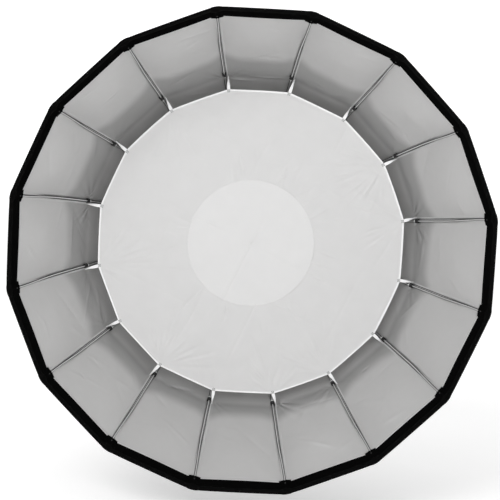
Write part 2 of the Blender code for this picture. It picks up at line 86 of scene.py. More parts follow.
MM = 0.001
SHARP_ANGLE = math.radians(40)
ROUND_EDGE = 0.4 * MM
SMALL_EDGE = 0.3 * MM
FINE_EDGE = 0.1 * MM
AXIS = np.array([0.0, 1.0, 0.0])
SEED = 16
LEAN_SEED = 31301
FOLDS = [joint for joint in frame["joints"] if joint["name"].startswith("rib_fold_")]
RIB_COUNT = len(FOLDS)
RIB_STEP = 2 * math.pi / RIB_COUNT
HALF_STEP = RIB_STEP / 2
HALF_TAN = math.tan(HALF_STEP)
HALF_GORE = math.sin(RIB_STEP) / 2
FOLD_ANGLE = math.radians(FOLDS[0]["range_deg"][1])
PIVOT_RADIUS = math.hypot(FOLDS[0]["pos_m"][0], FOLDS[0]["pos_m"][2])
PIVOT_Y = FOLDS[0]["pos_m"][1]

# Line of each rib: a parabola from the CAD canopy's rear edge to its rim.
PANEL = np.array([vertex.co for vertex in frame["nodes"]["canopy_panel_01"].data.vertices])
PANEL_RADII = np.hypot(PANEL[:, 0], PANEL[:, 2])
RIM_RADIUS = PANEL_RADII.max()
RIM_Y = PANEL[:, 1].min()
REAR_Y = PANEL[:, 1].max()
REAR_RADIUS = PANEL_RADII[PANEL[:, 1] > REAR_Y - 0.1 * MM].max()
LINE_DEPTH = (REAR_Y - RIM_Y) / (1 - (REAR_RADIUS / RIM_RADIUS) ** 2)
LINE_START_Y = RIM_Y + LINE_DEPTH

# Cloth of the canopy.
CLOTH = 1.5 * MM
BAND_COUNT = 7
ROW_STEP = 5.5 * MM
SEAM_COLUMNS = [0, 1.2 * MM, 3 * MM, 5 * MM, 5.7 * MM, 8 * MM, 8.8 * MM]
GORE_COLUMNS = 15
SEAM_LINE_HALF = 1.2 * MM
LINING_TAPE_HALF = 5 * MM
SHELL_TAPE_HALF = 8 * MM
SEAM_RELIEF = 0.6 * MM
SAG = 8 * MM
SAG_START = 150 * MM
SAG_EASE = 160 * MM
SAG_TIGHTENS_AT = 140 * MM
SAG_LOST = 0.75
SWELL = 0.8 * MM
SWELL_ALONG = 52 * MM
SWELL_ACROSS = 38 * MM
SWELL_START = 90 * MM
WRINKLE_COUNT = 12
WRINKLE_PLACES = (0.12, 0.88)
WRINKLE_START = 70 * MM
WRINKLE_PAST_STRAP = 90 * MM
WRINKLE_TURN = 0.9
WRINKLE_EASE = 60 * MM
WRINKLE_LENGTHS = (18 * MM, 60 * MM)
WRINKLE_WIDTHS = (3 * MM, 7 * MM)
WRINKLE_HEIGHT = 0.9 * MM
FAN_START = 12 * MM
FAN_EASE = 30 * MM
FAN_POCKET_EASE = 20 * MM
FAN_REACH = 85 * MM
FAN_TURN = 0.75
FAN_SPREAD = 0.45
FAN_FOLDS = 19
SEAM_CLEARANCE = 14 * MM
CORNER_ROUNDING_RIM = 13 * MM
CORNER_ROUNDING_DEEP = 2.5 * MM
CORNER_ROUNDING_REACH = 60 * MM
EDGE_SOFTNESS = 0.7 * MM

# Painted shade on the silver lining: a darker ring round the baffle, in place of the baffle's shadow and the
# dark cavity that the silver reflects. It reaches further out at the top and on the left.
PAINTED_SHADE_START = 229 * MM
PAINTED_SHADE_RISE = 0.045
PAINTED_SHADE_LEAN = -0.022
PAINTED_SHADE_FADE = 45 * MM
PAINTED_SHADE_NEAR_RIB = 12 * MM
PAINTED_SHADE_END = (-12 * MM, 8 * MM)
CLOUDS = 0.12

# Mouth: a hook-and-loop band inside the rim, a binding over the edge and a pocket over each rod's tip.
BAND_WIDTH = 38 * MM
BAND_RELIEF = 1.2 * MM
BINDING_WIDTH = 11 * MM
BINDING_RELIEF = 0.9 * MM
POCKET_HALF = 13 * MM
POCKET_LENGTH = BAND_WIDTH + 5.5 * MM
POCKET_RELIEF = 1.4 * MM
POCKET_BULGE = 4.6 * MM
POCKET_BULGE_HALF = 8 * MM
POCKET_BULGE_START = 14 * MM
SHELL_PATCH_RELIEF = 0.6 * POCKET_RELIEF
LIP_WIDTH = 3 * MM
LIP_RELIEF = 0.9 * MM

# Rods, with the straps' loops and the clips on them.
ROD_RADIUS = 2.8 * MM
ROD_INSET = 6.5 * MM
ROD_SIDES = 16
ROD_STATIONS = 64
ROD_START_RADIUS = 92 * MM
ROD_END_RUN = 15 * MM
ROD_LEAN = 4.5 * MM
LEAN_EASE_FRONT = 150 * MM
LEAN_EASE_REAR = 200 * MM
STRAIGHT_AT_HUB = 40 * MM
CLIP_BEHIND_STRAP = -4 * MM
CLIP_RISE = 10 * MM
CLIP_LENGTH = 10 * MM
CLIP_RADIUS = 5.6 * MM
LOOP_LENGTH = 3.5 * MM
LOOP_RADIUS = 3.7 * MM
LOOP_GAP = 0.5 * MM
COLLAR_EASE = 0.8 * MM
TIP_CAP_LENGTH = 20 * MM
TIP_CAP_RADIUS = 3.7 * MM

# Inner baffle.
BAFFLE_LOW, BAFFLE_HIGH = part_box("inner_baffle")
BAFFLE_Y = (BAFFLE_LOW.y + BAFFLE_HIGH.y) / 2
BAFFLE_CORNER = 401 * MM
BAFFLE_CLOTH = 0.9 * MM
PATCH_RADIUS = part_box("baffle_patch")[1].x
PATCH_RELIEF = 0.8 * MM
BAFFLE_BINDING = 5 * MM
ROUND_TO_SQUARE = 110 * MM
STRAP_WIDTH = 8 * MM
STRAP_TIP_WIDTH = 3.5 * MM
STRAP_LENGTH = 44 * MM
STRAP_CLOTH = 0.9 * MM
STRAP_OVERLAP = 9 * MM
STRAP_OFF_SEAM = 3.5 * MM
STRAP_TWISTS = (0.7, 1.5)
STITCH_HALF = 0.35 * MM
EDGE_BOW = 2.2 * MM
BAFFLE_SWELL = 1.1 * MM
BAFFLE_SWELL_X = 83 * MM
BAFFLE_SWELL_Z = 71 * MM
BAFFLE_COLUMNS = 57
BAFFLE_ROW_STEP = 3.2 * MM

# Marks in the baffle's cloth: packing folds, folds pulled out from its corners and ripples round its patch.
PACKING_TURN = math.radians(-24)
PACKING_STEP = 98 * MM
PACKING_PART = 115 * MM
PACKING_HEIGHTS = (-0.85, 0.5)
CREASE_WIDTH = 3.2 * MM
PULL_SEED = 178767
PULL_HEIGHT = 1.8 * MM
PULL_SPREAD = 0.95
PULL_COUNT = 15
PULL_REACHES = (30 * MM, 115 * MM)
RIPPLE_COUNT = 60
RIPPLE_PLACES = (12 * MM, 70 * MM)
RIPPLE_HEIGHT = 1.2 * MM
RIPPLE_LENGTHS = (14 * MM, 34 * MM)

# Cuff of cloth between the hub's plate and the canopy's rear edge.
PLATE_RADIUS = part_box("speed_ring")[1].x
HEM_LOW, HEM_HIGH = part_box("rear_hem")
CUFF_GATHER = 0.5 * MM
CUFF_GATHERS = 4

# Screws in the rear face of the insert's flange.
SCREW_COUNT = 4
SCREW_RADIUS = 2.8 * MM
SCREW_HEIGHT = 1.5 * MM
SOCKET_RADIUS = 1.5 * MM


def smooth(value):
    """A smooth step from 0 to 1."""
    value = np.clip(value, 0, 1)
    return value * value * (3 - 2 * value)


def number_of(rib):
    """A rib's number as it stands in the names of its pieces."""
    return f"{rib + 1:02d}"


def rib_axes(rib):
    """The directions out along a rib and sideways from it, towards the next rib."""
    angle = HALF_STEP + RIB_STEP * rib
    out = np.array([math.cos(angle), 0, math.sin(angle)])
    side = np.array([-math.sin(angle), 0, math.cos(angle)])
    return out, side


def line_y(radius):
    """The height along the light's axis of a rib's line at a radius."""
    return LINE_START_Y - LINE_DEPTH * (radius / RIM_RADIUS) ** 2


# A table from radius to run along a rib's line, a little past both ends.
TABLE_RADII = np.linspace(RIM_RADIUS + 12 * MM, REAR_RADIUS - 14 * MM, 1500)
TABLE_STEPS = np.hypot(np.diff(TABLE_RADII), np.diff(line_y(TABLE_RADII)))
TABLE_RUNS = np.concatenate([[0], np.cumsum(TABLE_STEPS)])
TABLE_RUNS -= np.interp(-RIM_RADIUS, -TABLE_RADII, TABLE_RUNS)


def radius_at(run):
    """The canopy's corner radius at a distance back from the rim along a rib."""
    return np.interp(run, TABLE_RUNS, TABLE_RADII)


def run_at(radius):
    """The distance back from the rim along a rib at a corner radius."""
    return np.interp(-np.asarray(radius), -TABLE_RADII, TABLE_RUNS)


REAR_RUN = float(run_at(REAR_RADIUS))


def rod_line(run):
    """The radius and the height of a rod's centre at a run, inset from its rib's line."""
    radius = radius_at(run)
    slope = 2 * LINE_DEPTH * radius / RIM_RADIUS**2
    length = np.sqrt(1 + slope**2)
    return radius - ROD_INSET * slope / length, line_y(radius) - ROD_INSET / length


def strap_run():
    """The run at which a rod crosses the baffle's plane."""
    runs = np.linspace(0, REAR_RUN, 4000)
    return float(np.interp(BAFFLE_Y, rod_line(runs)[1], runs))


STRAP_RUN = strap_run()


def wrinkle_table(gore):
    """Seeded creases on one gore: place across, run, direction, length, width and height."""
    generator = default_rng(SEED + gore)
    ranges = [
        WRINKLE_PLACES,
        (WRINKLE_START, STRAP_RUN + WRINKLE_PAST_STRAP),
        (-WRINKLE_TURN, WRINKLE_TURN),
        WRINKLE_LENGTHS,
        WRINKLE_WIDTHS,
        (-WRINKLE_HEIGHT, WRINKLE_HEIGHT),
    ]
    return np.stack([generator.uniform(low, high, WRINKLE_COUNT) for low, high in ranges], axis=1)


WRINKLES = [wrinkle_table(gore) for gore in range(RIB_COUNT)]
FAN_PHASES = default_rng(SEED).uniform(0, 2 * math.pi, (RIB_COUNT, 2))
FAN_HEIGHTS = default_rng(SEED + 1).uniform(0.05, 0.9, (RIB_COUNT, 2)) ** 2 * MM
ROD_SIDES_TAKEN = default_rng(LEAN_SEED).choice([-1, 1], RIB_COUNT)


def creases(table, x, z):
    """The height of a set of creases at points (x, z)."""
    height = np.zeros(np.broadcast(x, z).shape)
    for place_x, place_z, turn, length, width, rise in table:
        along = (x - place_x) * math.cos(turn) + (z - place_z) * math.sin(turn)
        across = (z - place_z) * math.cos(turn) - (x - place_x) * math.sin(turn)
        height += rise * np.exp(-((along / length) ** 2) - (across / width) ** 2)
    return height


def anchor_fan(gore, across, width, run):
    """Folds that spread towards the rim from the strap's anchor on each side of a gore."""
    height = np.zeros(np.broadcast(across, run).shape)
    for side, place in enumerate((across, 1 - across)):
        outward = STRAP_RUN + FAN_START - run
        reach = np.hypot(place * width, outward)
        turn = np.arctan2(place * width, outward)
        strength = smooth(reach / FAN_EASE) * np.exp(-((reach / FAN_REACH) ** 2))
        strength *= np.exp(-(((turn - FAN_TURN) / FAN_SPREAD) ** 2))
        height += FAN_HEIGHTS[gore, side] * strength * np.cos(FAN_FOLDS * turn + FAN_PHASES[gore, side])
    return height


def cloth_offset(gore, across, run):
    """How far a gore's cloth hangs in from the CAD canopy. across is 0 at one rib and 1 at the next."""
    width = 2 * HALF_GORE * radius_at(run)
    middle = 4 * across * (1 - across)
    slack = smooth(run / SAG_START) * (1 - SAG_LOST * smooth((run - SAG_TIGHTENS_AT) / SAG_EASE))
    slack *= smooth((REAR_RUN - run) / SAG_EASE)
    offset = SAG * middle * slack
    phase = FAN_PHASES[gore, 0]
    swell = np.sin(run / SWELL_ALONG + phase) * np.sin(across * width / SWELL_ACROSS + 2 * phase)
    offset += SWELL * swell * middle * smooth(run / SWELL_START)
    for place, place_run, turn, length, crease_width, rise in WRINKLES[gore]:
        crease = creases([(0, place_run, turn, length, crease_width, rise)], (across - place) * width, run)
        offset += crease * middle**0.5 * smooth(run / WRINKLE_EASE)
    clear = smooth(across * width / SEAM_CLEARANCE) * smooth((1 - across) * width / SEAM_CLEARANCE)
    past_pocket = smooth((run - POCKET_LENGTH) / FAN_POCKET_EASE)
    return offset + anchor_fan(gore, across, width, run) * clear * past_pocket


def canopy_base(rib, sideways, run):
    """The CAD canopy's outer face, with its corners rounded towards the rim."""
    radius = radius_at(run)
    near_rim = 1 - smooth(run / CORNER_ROUNDING_REACH)
    rounding = CORNER_ROUNDING_DEEP + (CORNER_ROUNDING_RIM - CORNER_ROUNDING_DEEP) * near_rim
    outward = radius - HALF_TAN * np.sqrt(sideways**2 + rounding**2)
    out, side = rib_axes(rib)
    return outward[..., None] * out + sideways[..., None] * side + line_y(radius)[..., None] * AXIS


def surface_normals(surface, sideways, run):
    """Unit normals of surface(sideways, run), pointing in to the light's axis."""
    step = 0.4 * MM
    across = surface(sideways + step, run) - surface(sideways - step, run)
    along = surface(sideways, run + step) - surface(sideways, run - step)
    normal = np.cross(along, across)
    normal /= np.linalg.norm(normal, axis=-1, keepdims=True)
    outward = (normal * surface(sideways, run) * np.array([1, 0, 1])).sum(-1)
    return normal * np.where(outward > 0, -1, 1)[..., None]


def canopy_point(rib, sideways, run, depth):
    """A point of the sagging canopy at a depth in from the CAD canopy's outer face."""
    half_width = HALF_GORE * radius_at(run)
    share = np.clip(np.abs(sideways) / (2 * half_width), 0, 1)
    ahead = cloth_offset(rib, share, run)
    behind = cloth_offset((rib - 1) % RIB_COUNT, 1 - share, run)
    offset = np.where(sideways >= 0, ahead, behind)
    base = canopy_base(rib, sideways, run)
    inward = surface_normals(lambda s, r: canopy_base(rib, s, r), sideways, run)
    return base + (depth + offset)[..., None] * inward


def edge(value, place):
    """From 1 below a place to 0 just above it."""
    return 1 - smooth((value - place) / EDGE_SOFTNESS)


def lining_relief(sideways, run):
    """How far the inner face stands in from the plain lining: seam tape, mouth band, binding and pockets."""
    off_seam = np.abs(sideways)
    mouth = edge(run, BAND_WIDTH)
    tape = SEAM_RELIEF * edge(off_seam, LINING_TAPE_HALF)
    lip = LIP_RELIEF * edge(run, BAND_WIDTH + LIP_WIDTH)
    band = (BAND_RELIEF - LIP_RELIEF) * mouth
    binding = BINDING_RELIEF * edge(run, BINDING_WIDTH)
    pocket = edge(run, POCKET_LENGTH)
    flat = POCKET_RELIEF * edge(off_seam, POCKET_HALF)
    bulge = POCKET_BULGE * np.exp(-((off_seam / POCKET_BULGE_HALF) ** 2))
    bulge *= smooth(run / POCKET_BULGE_START)
    return np.maximum(tape, lip) + band + binding + pocket * (flat + bulge)


def shell_relief(sideways, run):
    """How far the outer face stands out from the plain shell."""
    tape = SEAM_RELIEF * edge(np.abs(sideways), SHELL_TAPE_HALF)
    binding = BINDING_RELIEF * edge(run, BINDING_WIDTH)
    patch = SHELL_PATCH_RELIEF * edge(np.abs(sideways), POCKET_HALF) * edge(run, POCKET_LENGTH)
    return np.maximum(tape, patch) + binding


def new_object(name, data, materials=()):
    """Puts a mesh, a light or a camera in the scene."""
    for material in materials:
        data.materials.append(material)
    obj = bpy.data.objects.new(name, data)
    bpy.context.scene.collection.objects.link(obj)
    return obj


def mesh_from(name, points, faces, face_materials, uvs):
    """A smooth-shaded mesh from points, faces, the faces' materials and the points' places on the cloth."""
    mesh = bpy.data.meshes.new(name)
    mesh.from_pydata([tuple(p) for p in points], [], [tuple(int(i) for i in face) for face in faces])
    mesh.polygons.foreach_set("material_index", np.asarray(face_materials, dtype=np.int32))
    mesh.polygons.foreach_set("use_smooth", np.ones(len(faces), dtype=bool))
    layer = mesh.uv_layers.new(name="cloth")
    corners = np.array([loop.vertex_index for loop in mesh.loops])
    layer.data.foreach_set("uv", np.asarray(uvs, dtype=np.float32)[corners].ravel())
    mesh.update()
    return mesh


def section_normals(grid):
    """Unit normals of a closed sheet whose rows go round its section."""
    along = np.roll(grid, -1, axis=0) - np.roll(grid, 1, axis=0)
    normals = np.cross(along, np.gradient(grid, axis=1))
    return normals / np.maximum(np.linalg.norm(normals, axis=-1, keepdims=True), 1e-12)


def swept_cloth(name, grid, normals, uvs, strip_materials):
    """A closed sheet: rows go round the cloth's section, columns go across it, and both ends are capped."""
    rows, columns = grid.shape[:2]
    index = np.arange(rows * columns).reshape(rows, columns)
    following = np.roll(index, -1, axis=0)
    corners = [index[:, :-1], following[:, :-1], following[:, 1:], index[:, 1:]]
    quads = np.stack(corners, axis=-1).reshape(-1, 4)
    faces = [tuple(quad) for quad in quads] + [tuple(index[::-1, 0]), tuple(index[:, -1])]
    numbers = list(np.asarray(strip_materials).ravel()) + [0, 0]
    mesh = mesh_from(name, grid.reshape(-1, 3), faces, numbers, uvs.reshape(-1, 2))
    corner_normals = normals.reshape(-1, 3)[quads.ravel()]
    caps = np.zeros((2 * rows, 3))
    mesh.normals_split_custom_set(np.concatenate([corner_normals, caps]).tolist())
    return mesh


# Materials ----------------------------------------


class Paint:
    """Builds one procedural material around a Principled shader."""

    def __init__(self, name, roughness, metallic=0.0, **sockets):
        self.material = bpy.data.materials.new(name)
        self.material.use_nodes = True
        self.nodes = self.material.node_tree.nodes
        self.shader = self.nodes["Principled BSDF"]
        values = {"Roughness": roughness, "Metallic": metallic, **sockets}
        for socket, value in values.items():
            self.give(self.shader, socket.replace("_", " "), value)

    def give(self, node, socket, value):
        """Gives a node's input a plain value, or links it to another node's output."""
        if isinstance(value, bpy.types.NodeSocket):
            self.material.node_tree.links.new(value, node.inputs[socket])
        else:
            node.inputs[socket].default_value = value

    def node(self, kind, output, inputs=(), **settings):
        """Adds a node with its inputs and properties, and returns one of its outputs."""
        made = self.nodes.new(kind)
        for key, value in settings.items():
            setattr(made, key, value)
        for socket, value in dict(inputs).items():
            self.give(made, socket, value)
        return made.outputs[output]

    def place(self, cloth):
        """Coordinates in metres: the cloth's own, or the object's."""
        if cloth:
            return self.node("ShaderNodeUVMap", "UV", uv_map="cloth")
        return self.node("ShaderNodeTexCoord", "Object")

    def noise(self, scale, detail=3.0, cloth=False, stretch=(1, 1, 1)):
        """Noise with features about 1 / scale metres across."""
        place = self.node("ShaderNodeMapping", "Vector", {"Vector": self.place(cloth), "Scale": stretch})
        return self.node("ShaderNodeTexNoise", "Fac", {"Vector": place, "Scale": scale, "Detail": detail})

    def wave(self, period, direction="X"):
        """Ribs of the given period in metres across the cloth."""
        inputs = {"Vector": self.place(True), "Scale": math.pi / (10 * period), "Distortion": 0.3}
        return self.node("ShaderNodeTexWave", "Fac", inputs, wave_type="BANDS", bands_direction=direction)

    def part(self, axis, cloth=False):
        """One coordinate."""
        return self.node("ShaderNodeSeparateXYZ", axis, {"Vector": self.place(cloth)})

    def maths(self, operation, *values):
        """Values and plain numbers put together."""
        return self.node("ShaderNodeMath", "Value", enumerate(values), operation=operation)

    def between(self, value, low, high, at_low, at_high, kind="SMOOTHSTEP"):
        """A change from one number to another as a value passes from low to high."""
        ends = {"From Min": low, "From Max": high, "To Min": at_low, "To Max": at_high}
        return self.node("ShaderNodeMapRange", "Result", {"Value": value, **ends}, interpolation_type=kind)

    def weave(self, thread):
        """Threads crossing at the given spacing in metres."""
        return self.maths("MULTIPLY", self.wave(thread, "X"), self.wave(thread, "Y"))

    def let_through(self, tint, share):
        """Lets a share of the light scatter through."""
        through = self.node("ShaderNodeBsdfTranslucent", "BSDF", {"Color": (*tint, 1)})
        shaders = {"Fac": share, 1: self.shader.outputs["BSDF"], 2: through}
        mix = self.node("ShaderNodeMixShader", "Shader", shaders)
        self.give(self.nodes["Material Output"], "Surface", mix)

    def colour(self, value, dark, light, low=0.3, high=0.7):
        """Colours the surface between two colours by a value."""
        colour = self.node("ShaderNodeValToRGB", "Color", {"Fac": value})
        ends = colour.node.color_ramp.elements
        for end, place, tint in zip(ends, (low, high), (dark, light)):
            end.position = place
            end.color = (*tint, 1)
        self.give(self.shader, "Base Color", colour)

    def rough(self, value, low, high):
        """Roughness between two numbers by a value."""
        self.give(self.shader, "Roughness", self.between(value, 0, 1, low, high, "LINEAR"))

    def bump(self, value, height, strength=0.6):
        """Fine relief of the given height in metres."""
        inputs = {"Height": value, "Distance": height, "Strength": strength}
        self.give(self.shader, "Normal", self.node("ShaderNodeBump", "Normal", inputs))


def grey(level, warmth=0.0):
    """A near-neutral colour."""
    return (level * (1 + warmth), level, level * (1 - warmth))


def woven(name, dark, light, roughness, thread, depth, metallic=0.0, **sockets):
    """Plain-woven cloth with slightly uneven colour."""
    paint = Paint(name, roughness, metallic, **sockets)
    paint.colour(paint.noise(24, 4, cloth=True), dark, light)
    paint.rough(paint.noise(60, 2, cloth=True), roughness - 0.05, roughness + 0.05)
    paint.bump(paint.weave(thread), depth)
    return paint.material


def diffusion(name, dark, light, clearness):
    """Thin white cloth that scatters part of the light through to its other side."""
    paint = Paint(name, 0.75, Specular_IOR_Level=0.2)
    paint.colour(paint.noise(24, 4, cloth=True), dark, light)
    paint.rough(paint.noise(60, 2, cloth=True), 0.7, 0.8)
    crumple = paint.maths("ADD", paint.noise(110, 4, cloth=True), paint.weave(1.0 * MM))
    paint.bump(crumple, 0.12 * MM)
    paint.let_through(light, clearness)
    return paint.material


def lining_material():
    """Silver-coated nylon: a soft metal sheen over a fine, crumpled weave, with painted shade in a ring
    round the baffle.
    """
    paint = Paint("silver_lining", 0.34, 0.9)
    # Painted shade: the lining's colour darkens in a ring round the baffle, further out at the top, on the
    # left and by the ribs, in place of the baffle's shadow and the reflected dark cavity.
    run = paint.part("Y", cloth=True)
    raised = paint.maths("MULTIPLY_ADD", paint.part("Z"), PAINTED_SHADE_RISE, run)
    leaning = paint.maths("MULTIPLY_ADD", paint.part("X"), PAINTED_SHADE_LEAN, raised)
    off_seam = paint.maths("ABSOLUTE", paint.part("X", cloth=True))
    near_rib = paint.between(off_seam, 0, PAINTED_SHADE_FADE, PAINTED_SHADE_NEAR_RIB, 0)
    painted_shade_ramp = paint.between(paint.maths("ADD", leaning, near_rib), PAINTED_SHADE_START, PAINTED_SHADE_START + PAINTED_SHADE_FADE, 0, 1)
    inside = paint.between(run, STRAP_RUN + PAINTED_SHADE_END[0], STRAP_RUN + PAINTED_SHADE_END[1], 1, 0)
    painted_shade = paint.maths("MULTIPLY", painted_shade_ramp, inside)
    clouds_and_painted_shade = paint.maths("MULTIPLY_ADD", paint.noise(30, 5, cloth=True), CLOUDS, painted_shade)
    paint.colour(clouds_and_painted_shade, grey(0.63, 0.004), grey(0.41, 0.004), low=0.0, high=1.06)
    paint.rough(paint.noise(60, 2, cloth=True), 0.32, 0.4)
    wrinkles = paint.noise(170, 4, cloth=True, stretch=(1, 0.55, 1))
    crumple = paint.maths("ADD", wrinkles, paint.weave(1.1 * MM))
    paint.bump(crumple, 0.22 * MM, 0.5)
    return paint.material


def lining_tape_material():
    """The same silver cloth as a folded tape along each seam."""
    return woven("silver_tape", grey(0.56), grey(0.64), 0.34, 0.9 * MM, 0.04 * MM, metallic=0.9)


def lining_lip_material():
    """The bright folded edge of the lining where it meets the mouth band."""
    return woven("silver_lip", grey(0.68), grey(0.78), 0.5, 0.9 * MM, 0.04 * MM, metallic=0.4)


def shell_material():
    """Black nylon outer cloth."""
    return woven("black_nylon", grey(0.005), grey(0.01), 0.6, 1.3 * MM, 0.08 * MM, Specular_IOR_Level=0.2)


def binding_material():
    """Black ribbed binding tape."""
    paint = Paint("black_binding", 0.8, Specular_IOR_Level=0.03)
    paint.colour(paint.noise(90, 3, cloth=True), grey(0.0012), grey(0.003))
    paint.bump(paint.wave(1.8 * MM, "X"), 0.25 * MM)
    return paint.material


def loop_band_material():
    """Black hook-and-loop tape: a dull, fuzzy pile."""
    paint = Paint("black_loop_tape", 0.95, Specular_IOR_Level=0.02)
    pile = paint.noise(900, 5, cloth=True)
    paint.colour(pile, grey(0.0006), grey(0.002))
    paint.bump(pile, 0.5 * MM)
    return paint.material


def seam_line_material():
    """Dark thread that closes each seam."""
    paint = Paint("seam_thread", 0.75, Specular_IOR_Level=0.15)
    stitches = paint.wave(3 * MM, "Y")
    paint.colour(stitches, grey(0.05), grey(0.16))
    paint.bump(stitches, 0.3 * MM)
    return paint.material


def white_cloth_material():
    """White diffusion nylon, which lets some light through."""
    return diffusion("white_nylon", grey(0.84, 0.003), grey(0.87, 0.003), 0.45)


def white_patch_material():
    """The second layer of diffusion nylon, which lets less light through."""
    return diffusion("white_patch_nylon", grey(0.86, 0.003), grey(0.88, 0.003), 0.38)


def white_tape_material():
    """Bright white binding and strap tape."""
    paint = Paint("white_tape", 0.6)
    paint.colour(paint.noise(120, 3, cloth=True), grey(0.8), grey(0.86))
    paint.bump(paint.wave(1.4 * MM, "X"), 0.12 * MM)
    return paint.material


def thread_material():
    """Grey thread."""
    paint = Paint("grey_thread", 0.7)
    paint.colour(paint.noise(800, 2), grey(0.16), grey(0.3))
    return paint.material


def rod_material():
    """Rod with a painted highlight where its first coordinate is 1, on the side that faces the axis, and
    painted shade on its flanks beside the cloth.
    """
    paint = Paint("rod_painted_highlight", 0.28, 1.0)
    streaks = paint.noise(240, 4, cloth=True, stretch=(0.02, 0.3, 1))
    # Painted highlight: the colour is bright along the side facing the axis and dark on the flanks, in place
    # of the rod's reflection and its shade.
    facing = paint.maths("MULTIPLY_ADD", streaks, CLOUDS, paint.part("X", cloth=True))
    paint.colour(facing, grey(0.008), grey(0.66), low=0.74, high=1.04)
    paint.rough(streaks, 0.24, 0.4)
    return paint.material


def moulded(name, dark, light, roughness):
    """Moulded plastic with a fine grain."""
    paint = Paint(name, roughness)
    grain = paint.noise(1400, 3)
    paint.colour(paint.noise(60, 3), dark, light)
    paint.rough(grain, roughness - 0.08, roughness + 0.08)
    paint.bump(grain, 0.05 * MM, 0.4)
    return paint.material


def cast_metal(name, dark, light, roughness, metallic):
    """Metal or metal paint with fine grain and slight wear."""
    paint = Paint(name, roughness, metallic)
    paint.colour(paint.noise(140, 6), dark, light)
    grain = paint.noise(1800, 2)
    paint.rough(grain, roughness - 0.07, roughness + 0.07)
    paint.bump(grain, 0.04 * MM, 0.4)
    return paint.material


CANOPY_MATERIALS = [
    lining_material(),
    lining_tape_material(),
    lining_lip_material(),
    shell_material(),
    binding_material(),
    loop_band_material(),
    seam_line_material(),
]
LINING, LINING_TAPE, LINING_LIP, SHELL, BINDING, LOOP_BAND, SEAM_LINE = range(len(CANOPY_MATERIALS))
white_tape = white_tape_material()


# Canopy ----------------------------------------


def folded_share(run):
    """How much of its width the cloth keeps at a run when the ribs are closed."""
    radius = radius_at(run)
    middle = radius * (1 - HALF_GORE * HALF_TAN)
    outward = (middle - PIVOT_RADIUS) * math.cos(FOLD_ANGLE)
    closed = PIVOT_RADIUS + outward + (line_y(radius) - PIVOT_Y) * math.sin(FOLD_ANGLE)
    return closed * HALF_TAN / (HALF_GORE * radius)


def band_edges():
    """Runs from the rim to the rear edge at which the canopy is cut, in even ratios of its folded width."""
    runs = np.linspace(0, REAR_RUN, 2000)
    shares = folded_share(runs)
    wanted = shares[0] * (shares[-1] / shares[0]) ** (np.arange(BAND_COUNT + 1) / BAND_COUNT)
    return np.interp(wanted, shares, runs)


def column_places(runs):
    """Sideways distances of the columns at each run: close together by the seam, then even to mid-gore."""
    half_width = HALF_GORE * radius_at(runs)[:, None]
    last = SEAM_COLUMNS[-1]
    by_seam = np.broadcast_to(SEAM_COLUMNS, (len(runs), len(SEAM_COLUMNS)))
    even = last + (half_width - last) * np.linspace(0, 1, GORE_COLUMNS + 1)[1:]
    right = np.concatenate([by_seam, even], axis=1)
    return np.concatenate([-right[:, :0:-1], right], axis=1)


def band_rows(near, far):
    """Runs of the rows of a band, with extra rows at the mouth's steps."""
    count = max(2, round((far - near) / ROW_STEP))
    steps = [BINDING_WIDTH, BAND_WIDTH, BAND_WIDTH + LIP_WIDTH, POCKET_LENGTH]
    extra = [place + shift for place in steps for shift in (0, EDGE_SOFTNESS)]
    inside = [run for run in extra if near < run < far]
    return np.array(sorted([*np.linspace(near, far, count + 1), *inside]))


def lining_kinds(sideways, run):
    """The material of each inner face of the canopy."""
    off_seam = np.abs(sideways)
    black = (run < BAND_WIDTH) | ((off_seam < POCKET_HALF) & (run < POCKET_LENGTH))
    kinds = np.where(off_seam < LINING_TAPE_HALF, LINING_TAPE, LINING)
    kinds = np.where(off_seam < SEAM_LINE_HALF, SEAM_LINE, kinds)
    kinds = np.where(run < BAND_WIDTH + LIP_WIDTH, LINING_LIP, kinds)
    kinds = np.where(black, LOOP_BAND, kinds)
    return np.where(run < BINDING_WIDTH, BINDING, kinds)


def shell_kinds(sideways, run):
    """The material of each outer face of the canopy."""
    off_seam = np.abs(sideways)
    stitched = (off_seam > SEAM_COLUMNS[3]) & (off_seam < SEAM_COLUMNS[4])
    kinds = np.where(off_seam < SHELL_TAPE_HALF, BINDING, SHELL)
    kinds = np.where(stitched, SEAM_LINE, kinds)
    return np.where(run < BINDING_WIDTH, BINDING, kinds)


def rim_rows(rib, places, inner, outer):
    """Rows of points and normals over the rounded edge at the rim."""
    at = np.zeros(places.shape)
    ahead = canopy_base(rib, places, at) - canopy_base(rib, places, at + MM)
    ahead /= np.linalg.norm(ahead, axis=-1, keepdims=True)
    thickness = np.linalg.norm(outer - inner, axis=-1, keepdims=True)
    across = (outer - inner) / thickness
    rows, normals = [], []
    for turn in np.linspace(0, math.pi, 7)[1:-1]:
        normal = ahead * math.sin(turn) - across * math.cos(turn)
        rows.append((inner + outer) / 2 + normal * thickness / 2)
        normals.append(normal)
    return np.array(rows), np.array(normals)


